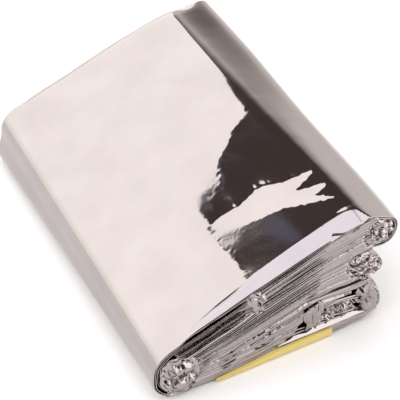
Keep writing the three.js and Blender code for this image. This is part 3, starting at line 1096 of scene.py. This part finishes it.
@dataclass(frozen=True)
class Strip:
    """A narrow band of film near the open end, ruled from a lower edge to an upper one.

    The edges are rows of places (x, y, z), and each is joined by straight lines.
    """

    name: str
    low: tuple[Triple, ...]
    high: tuple[Triple, ...]
    bow: float = 0.15
    waver: float = 0.06
    seed: int = 60
    wave: float = 6.0
    across: float = 4.0  # how far the waver is read over from edge to edge
    columns: int = 90
    rows: int = 12
    thick: float = 0.15

    def face(self, packet: Packet) -> np.ndarray:
        """The band's face, bowed a little outwards between its edges.

        Args:
            packet: what moves every point of the packet.

        Returns:
            Points, rows upwards by columns along X.
        """
        low, high = np.array(self.low, float), np.array(self.high, float)
        pace = np.linspace(0.0, 1.0, self.columns)
        edges = [np.stack([np.interp(pace, np.linspace(0, 1, len(row)), row[:, i]) for i in range(3)], -1)
                 for row in (low, high)]
        share = np.linspace(0.0, 1.0, self.rows)[:, None, None]
        face = edges[0][None] * (1 - share) + edges[1][None] * share
        swell = self.bow * np.sin(math.pi * share[..., 0])
        uneven = self.waver * Waves(self.seed, self.wave).at(face[..., 0], self.across * share[..., 0])
        y = face[..., 1] - swell + uneven
        x, z = packet.place(face[..., 0], y, face[..., 2] + swell / 2 + uneven, 0.0, 0.0)
        return np.stack((x, y, z), -1)


# The wads, by where they lie: outline, seed, facet, relief, recess, droop and stretch.
WADS = (
    Crumpled("core", ((-36.2, 10.5), (-35.6, 14.6), (-33.5, 16.2), (-30, 15.2), (-24.5, 12.8),
             (-23.5, 9.5), (-25.6, 5), (-27.5, 1.0), (-32.5, 1.6), (-35.4, 4.6)),
             71, 1.7, 1.1, 0.0, 0.9, 1.3),
    Crumpled("top_bundle", ((28.2, 39.6), (31, 40.6), (35, 38.9), (36.9, 36.6), (36.8, 33.6),
             (35.2, 31.4), (31.5, 30.9), (28, 31.5), (26.5, 35)), 81, 1.7, 1.0, 0.4, 0.9, 0.7),
    Crumpled("middle_bundle", ((22.6, 27.6), (27, 29.2), (30.6, 28), (33, 24.4), (33.7, 21.6),
             (31.8, 19.9), (27.5, 19.4), (23.6, 21.5), (21.8, 24.4)), 91, 1.7, 1.0, 0.0, 0.9, 0.5),
    Crumpled("bottom_bundle", ((27, 15.2), (30.5, 16.8), (33.4, 13.4), (35, 9.6), (35.3, 5.6),
             (34.3, 3.4), (31.5, 2.6), (29.3, 4.5), (28.6, 8), (26.4, 11.2)), 101, 1.8, 1.0, 0.0, 0.9, 1.6),
    Crumpled("mouth_filling", ((11, 6.4), (14, 9.6), (19, 12.6), (24, 13.4), (28, 10.8), (30.5, 7.4),
             (29, 5.4), (20, 5.7), (13, 5.6)), 131, 1.6, 1.1, 1.6, 0.8, 0.7),
    Crumpled("corner_flap", ((9.4, 14.8), (14.8, 15.8), (14.2, 11.5), (13.2, 8), (11.4, 6.8),
             (9.8, 9.6)), 111, 1.0, 0.6, -0.3, 0.3, 7.0),
    Crumpled("nicks", ((-9.2, 30.6), (-7.4, 30.8), (-5.0, 24.6), (-4.6, 21.6), (-6.4, 21.8),
             (-8.6, 25.0)), 121, 1.4, 0.7, -0.1, 1.2),
)

# The narrow bands round the mouth over the label: lower edge, upper edge, bow, waver and seed.
STRIPS = (
    Strip("lip_band", ((0.0, -60.0, 4.3), (8, -60.2, 4.5), (18, -60.2, 4.5), (30, -60.0, 4.4)),
          ((0.6, -59.7, 4.5), (8, -58.3, 5.4), (18, -58.0, 5.6), (30, -58.6, 5.3)), 0.05, 0.03, 61),
    Strip("mouth_back", ((10, -59.2, 5.5), (18, -58.4, 6.0), (26, -55.6, 5.6), (31, -53.5, 5.2)),
          ((10.5, -58.4, 9.0), (18, -56.0, 11.6), (26, -52.0, 11.4), (31, -50.5, 9.0)), 0.5, 0.45, 62),
    Strip("foot_fold", ((17, -59.9, 1.3), (24, -59.9, 1.5), (30, -59.9, 1.9), (34.5, -59.4, 3.0)),
          ((17, -59.4, 4.1), (24, -59.0, 4.2), (30, -58.8, 4.3), (34.5, -58.8, 5.0)), 0.25, 0.1, 63),
)


@dataclass(frozen=True)
class Finish:
    """The finishes: metallised film, label paper and the floor, with pattern sizes in millimetres."""

    film_dull: str = "9F9797"
    film_clear: str = "B0A8A6"
    film_rough: float = 0.06
    cloud_size: float = 14.0
    cloud_detail: float = 4.0
    grain_size: float = 1.1
    grain_detail: float = 3.0
    grain_strength: float = 0.05
    grain_height: float = 0.1
    paper: str = "E2CC78"
    paper_rough: float = 0.6
    floor_colour: str = "F0EFEE"
    floor_rough: float = 0.9

    def start(self, name: str, rough: float) -> tuple[bpy.types.Material, bpy.types.Node]:
        """Start a material with a principled shader joined to its output.

        Args:
            name: what the real material is.
            rough: its roughness.

        Returns:
            The material and its shader.
        """
        material = bpy.data.materials.new(name)
        material.use_nodes = True
        material.node_tree.nodes.clear()
        shader = add_node(material.node_tree, "ShaderNodeBsdfPrincipled", Roughness=rough)
        add_node(material.node_tree, "ShaderNodeOutputMaterial", Surface=shader.outputs[0])
        return material, shader

    def film(self) -> bpy.types.Material:
        """Polyester film, vacuum-coated with aluminium.

        Returns:
            The material.
        """
        # A near mirror: its roughness of a few hundredths softens a reflection by about a pixel, and
        # wrinkles of a millimetre, too fine to model, make its borders waver.
        material, shader = self.start("metallised_polyester_film", self.film_rough)
        shader.inputs["Metallic"].default_value = 1.0
        tree = material.node_tree
        place = add_node(tree, "ShaderNodeTexCoord").outputs["Object"]
        grain = add_node(tree, "ShaderNodeTexNoise", Vector=place, Scale=1 / (self.grain_size * MM),
                         Detail=self.grain_detail)
        bump = add_node(tree, "ShaderNodeBump", Height=grain.outputs["Fac"], Strength=self.grain_strength,
                        Distance=self.grain_height * MM)
        tree.links.new(bump.outputs[0], shader.inputs["Normal"])
        # The coating is a little thicker here and thinner there, as faint clouds on a bright face.
        cloud = add_node(tree, "ShaderNodeTexNoise", Vector=place, Scale=1 / (self.cloud_size * MM),
                         Detail=self.cloud_detail)
        tone = add_node(tree, "ShaderNodeMix", {"data_type": "RGBA"}, in0=cloud.outputs["Fac"],
                        in6=linear(self.film_dull), in7=linear(self.film_clear))
        tree.links.new(tone.outputs[2], shader.inputs["Base Color"])
        return material

    def label(self) -> bpy.types.Material:
        """Uncoated label paper, dyed yellow.

        Returns:
            The material.
        """
        # Matt and even: its fibres are too fine to show from the camera's place.
        material, shader = self.start("yellow_label_paper", self.paper_rough)
        shader.inputs["Base Color"].default_value = linear(self.paper)
        return material

    def floor(self) -> bpy.types.Material:
        """Matt white studio board.

        Returns:
            The material.
        """
        # Pale and without a shine, so that only a faint soft shadow lies round the packet.
        material, shader = self.start("matt_white_floor", self.floor_rough)
        shader.inputs["Base Color"].default_value = linear(self.floor_colour)
        return material


@dataclass
class Label:
    """The paper strip under the packet, with its near end turned up over the bottom edge."""

    thick: float = 1.0
    bend: float = 1.1
    near: float = -60.7
    far: float = -26.0
    x: Numbers = (-19.5, -11.5, 0.5, 11.0, 18.5)
    top: Numbers = (1.3, 1.9, 3.5, 3.9, 3.5)
    columns: int = 60
    flat_side: float = 38.0  # its width, and its length with the turned-up end

    def build(self, packet: Packet, material: bpy.types.Material) -> bpy.types.Object:
        """Make the L-shaped strip: one chamfered section, carried along X.

        Args:
            packet: what shifts every point of the packet.
            material: the label's finish.

        Returns:
            The label.
        """
        x = np.linspace(self.x[0], self.x[-1], self.columns)[:, None]
        top = np.interp(x, self.x, self.top)
        inner = self.near + self.thick
        y = np.array([self.near + self.bend, self.far, self.far, inner, inner, self.near, self.near,
                      self.near + self.bend / 2])[None] + 0 * x
        z = np.concatenate((0 * top, 0 * top, 0 * top + self.thick, 0 * top + self.thick, top, top,
                            0 * top + self.bend, 0 * top + self.bend / 2), 1)
        points = np.stack((x + packet.shift + 0 * y, y, z), -1).reshape(-1, 3)
        ring = y.shape[1]
        whole = (self.columns - 1) * ring
        sides = ring_faces(self.columns, ring)[:whole]
        first = np.array([(0, 1, 2, 3), (0, 3, 6, 7), (3, 4, 5, 6)])
        last = first[:, ::-1] + whole
        piece = make_mesh("label_strip", points, outward(points, np.vstack((sides, first, last))), material)
        piece.data.shade_flat()
        return piece


@dataclass(frozen=True)
class Wiring:
    """Numbers and colours worked out by a shader tree's nodes, each given as values or sockets."""

    tree: bpy.types.NodeTree

    def node(self, kind: str, settings: dict[str, str], inputs: tuple[Value, ...]) -> bpy.types.Node:
        """A node whose first inputs are given in order."""
        return add_node(self.tree, kind, settings, **{f"in{i}": value for i, value in enumerate(inputs)})

    def maths(self, kind: str, *inputs: Value) -> bpy.types.NodeSocket:
        """A maths node of one kind, such as ADD."""
        return self.node("ShaderNodeMath", {"operation": kind}, inputs).outputs[0]

    def product(self, first: Value, *others: Value) -> bpy.types.NodeSocket:
        """All the values multiplied."""
        for other in others:
            first = self.maths("MULTIPLY", first, other)
        return first

    def step(self, *inputs: Value) -> bpy.types.NodeSocket:
        """A smooth step of a value between two places: from 0 to 1, or between two further values."""
        return self.node("ShaderNodeMapRange", {"interpolation_type": "SMOOTHSTEP"}, inputs).outputs[0]

    def band(self, value: Value, borders: Band) -> bpy.types.NodeSocket:
        """1 within a band, fading to 0 over its two soft borders."""
        return self.product(self.step(value, *borders[:2]), self.step(value, *borders[2:], 1.0, 0.0))

    def mix(self, share: Value, first: Value, second: Value) -> bpy.types.NodeSocket:
        """A colour from the first, at a share of 0, to the second."""
        return add_node(self.tree, "ShaderNodeMix", {"data_type": "RGBA"}, in0=share, in6=first,
                        in7=second).outputs[2]


@dataclass(frozen=True)
class Dome:
    """Light painted by direction, in degrees: azimuth from behind the packet towards its right, and height.

    A large soft light stands behind and to the left, creamier at its foot, and a dark room with a faint
    bluish sheen to the right of it. A grey wall stands low on the right, and the front is dim at its
    foot and bright higher up, with a bright card on the right and a narrow shade on the left.
    Colours are linear light, and a field of four numbers holds a band's two soft borders.
    """

    soft: Numbers = (2.20, 2.17, 2.14, 1)
    cream: Numbers = (1.84, 1.83, 1.67, 1)
    overhead: Numbers = (2.02, 2.03, 2.20, 1)
    dark: Numbers = (0.112, 0.085, 0.08, 1)
    bluish: Numbers = (0.2, 0.205, 0.265, 1)
    sheen_side: Band = (-16.5, -14.6, -13.0, -10.5)
    sheen_up: Band = (47.8, 49.4, 51.0, 53.0)
    right: Numbers = (1.18, 1.14, 1.08, 1)
    front_low: Numbers = (0.6, 0.565, 0.565, 1)
    front_high: Numbers = (1.5, 1.45, 1.45, 1)
    card: Numbers = (2.4, 2.35, 2.3, 1)
    shade: Numbers = (0.08, 0.07, 0.07, 1)
    front_rise: Pair = (5.0, 50.0)
    card_side: Band = (98.0, 101.0, 140.0, 150.0)
    shade_side: Pair = (176.0, -138.0)
    edge_height: Pair = (47.0, 48.0)  # above this the dark room reaches further left
    edge_left: float = -19.8
    edge_right: float = 21.5
    edge_slant: float = -2.06
    edge_start: float = 103.0
    dark_top: Pair = (63.0, 72.0)
    dark_foot: Pair = (21.0, 41.0)
    dark_right: Pair = (60.0, 80.0)
    soft_left: Pair = (-120.0, -95.0)
    soft_foot: Pair = (-3.0, 0.0)
    soft_rise: Pair = (3.0, 18.0)
    card_foot: Pair = (-2.0, 0.0)
    right_behind: Pair = (80.0, 110.0)
    overhead_from: Pair = (60.0, 70.0)
    side_blur: float = 0.6

    def paint(self) -> None:
        """Wire the colours together by direction and make them the scene's world."""
        world = bpy.data.worlds.new("studio_dome")
        world.use_nodes = True
        tree = world.node_tree
        tree.nodes.clear()
        way = add_node(tree, "ShaderNodeTexCoord").outputs["Generated"]
        x, y, z = add_node(tree, "ShaderNodeSeparateXYZ", Vector=way).outputs
        wire, degrees = Wiring(tree), math.degrees(1.0)
        az = wire.maths("MULTIPLY", wire.maths("ARCTAN2", x, y), degrees)
        el = wire.maths("MULTIPLY", wire.maths("ARCSINE", z), degrees)
        slant = wire.maths("MULTIPLY_ADD", el, self.edge_slant, self.edge_start)
        low_edge = wire.maths("MINIMUM", slant, self.edge_right)
        edge = wire.step(wire.step(el, *self.edge_height), 0.0, 1.0, low_edge, self.edge_left)
        past = wire.step(wire.maths("SUBTRACT", az, edge), -self.side_blur, self.side_blur)
        dark = wire.product(past, wire.step(el, *self.dark_top, 1.0, 0.0), wire.step(el, *self.dark_foot),
                            wire.step(az, *self.dark_right, 1.0, 0.0))
        soft = wire.product(wire.step(az, *self.soft_left), wire.maths("SUBTRACT", 1.0, past),
                            wire.step(el, *self.soft_foot))
        front = wire.mix(wire.step(el, *self.front_rise), self.front_low, self.front_high)
        card = wire.product(wire.band(az, self.card_side), wire.step(el, *self.card_foot))
        front = wire.mix(card, front, self.card)
        shade = wire.maths("ADD", wire.maths("GREATER_THAN", az, self.shade_side[0]),
                         wire.maths("LESS_THAN", az, self.shade_side[1]))
        front = wire.mix(shade, front, self.shade)
        right = wire.product(past, wire.step(az, *self.right_behind, 1.0, 0.0))
        wall = wire.mix(right, front, self.right)
        panel = wire.mix(wire.step(el, *self.soft_rise), self.cream, self.soft)
        lit = wire.mix(soft, wall, panel)
        lit = wire.mix(wire.step(el, *self.overhead_from), lit, self.overhead)
        sheen = wire.product(wire.band(az, self.sheen_side), wire.band(el, self.sheen_up))
        room = wire.mix(sheen, self.dark, self.bluish)
        shine = add_node(tree, "ShaderNodeBackground", Color=wire.mix(dark, lit, room), Strength=1.0)
        add_node(tree, "ShaderNodeOutputWorld", Surface=shine.outputs[0])
        bpy.context.scene.world = world


@dataclass
class Studio:
    """Floor, camera and the light all round."""

    azimuth: float = -27.5
    elevation: float = 42.2
    distance: float = 359.0
    target: Triple = (6.5, 0.0, 10.4)
    lens: float = 101.1
    sensor: float = 36.0
    clip: Pair = (0.01, 20.0)  # in metres, as the lamp's sizes are
    floor_size: float = 6000.0
    lamp_size: float = 1.2
    lamp_power: float = 1.8
    lamp_place: Triple = (-0.2, 0.1, 1.2)

    def camera(self, packet: Packet) -> None:
        """Put the camera at the photograph's angle.

        Args:
            packet: what shifts the packet along X, and the camera with it.
        """
        a, e = math.radians(self.azimuth), math.radians(self.elevation)
        back = Vector((math.sin(a) * math.cos(e), -math.cos(a) * math.cos(e), math.sin(e)))
        data = bpy.data.cameras.new("camera")
        data.lens = self.lens
        data.sensor_width = self.sensor
        data.clip_start, data.clip_end = self.clip
        camera = bpy.data.objects.new("camera", data)
        camera.location = (Vector(self.target) + back * self.distance) * MM
        camera.location.x += packet.shift * MM
        camera.rotation_mode = "QUATERNION"
        camera.rotation_quaternion = (-back).to_track_quat("-Z", "Y")
        bpy.context.scene.collection.objects.link(camera)
        bpy.context.scene.camera = camera

    def floor(self, material: bpy.types.Material) -> None:
        """Lay the floor under the packet.

        Args:
            material: its finish.
        """
        half = self.floor_size / 2
        corners = np.array([(-half, -half, 0), (half, -half, 0), (half, half, 0), (-half, half, 0)])
        mesh = bpy.data.meshes.new("floor")
        mesh.from_pydata((corners * MM).tolist(), [], [(0, 1, 2, 3)])
        mesh.materials.append(material)
        floor = bpy.data.objects.new("floor", mesh)
        bpy.context.scene.collection.objects.link(floor)

    def lamp(self) -> None:
        """A wide soft lamp overhead, which lights the floor and shows in no reflection."""
        data = bpy.data.lights.new("overhead", "AREA")
        data.shape = "DISK"
        data.size = self.lamp_size
        data.energy = self.lamp_power
        lamp = bpy.data.objects.new("overhead", data)
        lamp.location = self.lamp_place
        lamp.visible_glossy = False
        bpy.context.scene.collection.objects.link(lamp)


def declare(piece: bpy.types.Object) -> None:
    """Attach a piece of the bag to the root body, and hide the imported folded bag.

    Args:
        piece: the piece, made of metallised film.
    """
    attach(piece, "root")
    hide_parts("folded_bag")


def main() -> None:
    """Build the packet, its label and the studio, and attach each piece to the root body."""
    logging.basicConfig(level=logging.INFO, format="%(name)s: %(message)s")
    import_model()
    bpy.context.scene.view_settings.view_transform = "Standard"
    packet = Packet(shift=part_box("folded_bag")[0].x / MM - FOOT_X)
    line = FoldLine()
    relief = TopRelief()
    ends = LeafEnds()
    finish = Finish()
    film = finish.film()
    for item in FilmPlan().films(line):
        piece = item.build(line, packet, relief, ends, film)
        declare(piece)
    edges = LeafEdges()
    faces = {
        edges.name: [("pleats", edges.face(packet, ends, WADS), edges.thick)],
        "crumpled_ends": [(wad.name, wad.face(packet), wad.thick) for wad in WADS],
        "edge_bands": [(band.name, band.face(packet), band.thick) for band in STRIPS],
    }
    for name, sheets in faces.items():
        piece, area = join_sheets(name, sheets, film)
        declare(piece)
    strip = Label()
    label = strip.build(packet, finish.label())
    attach(label, "root")
    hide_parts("label")
    studio = Studio()
    studio.camera(packet)
    studio.floor(finish.floor())
    Dome().paint()
    studio.lamp()


if __name__ == "__main__":
    main()
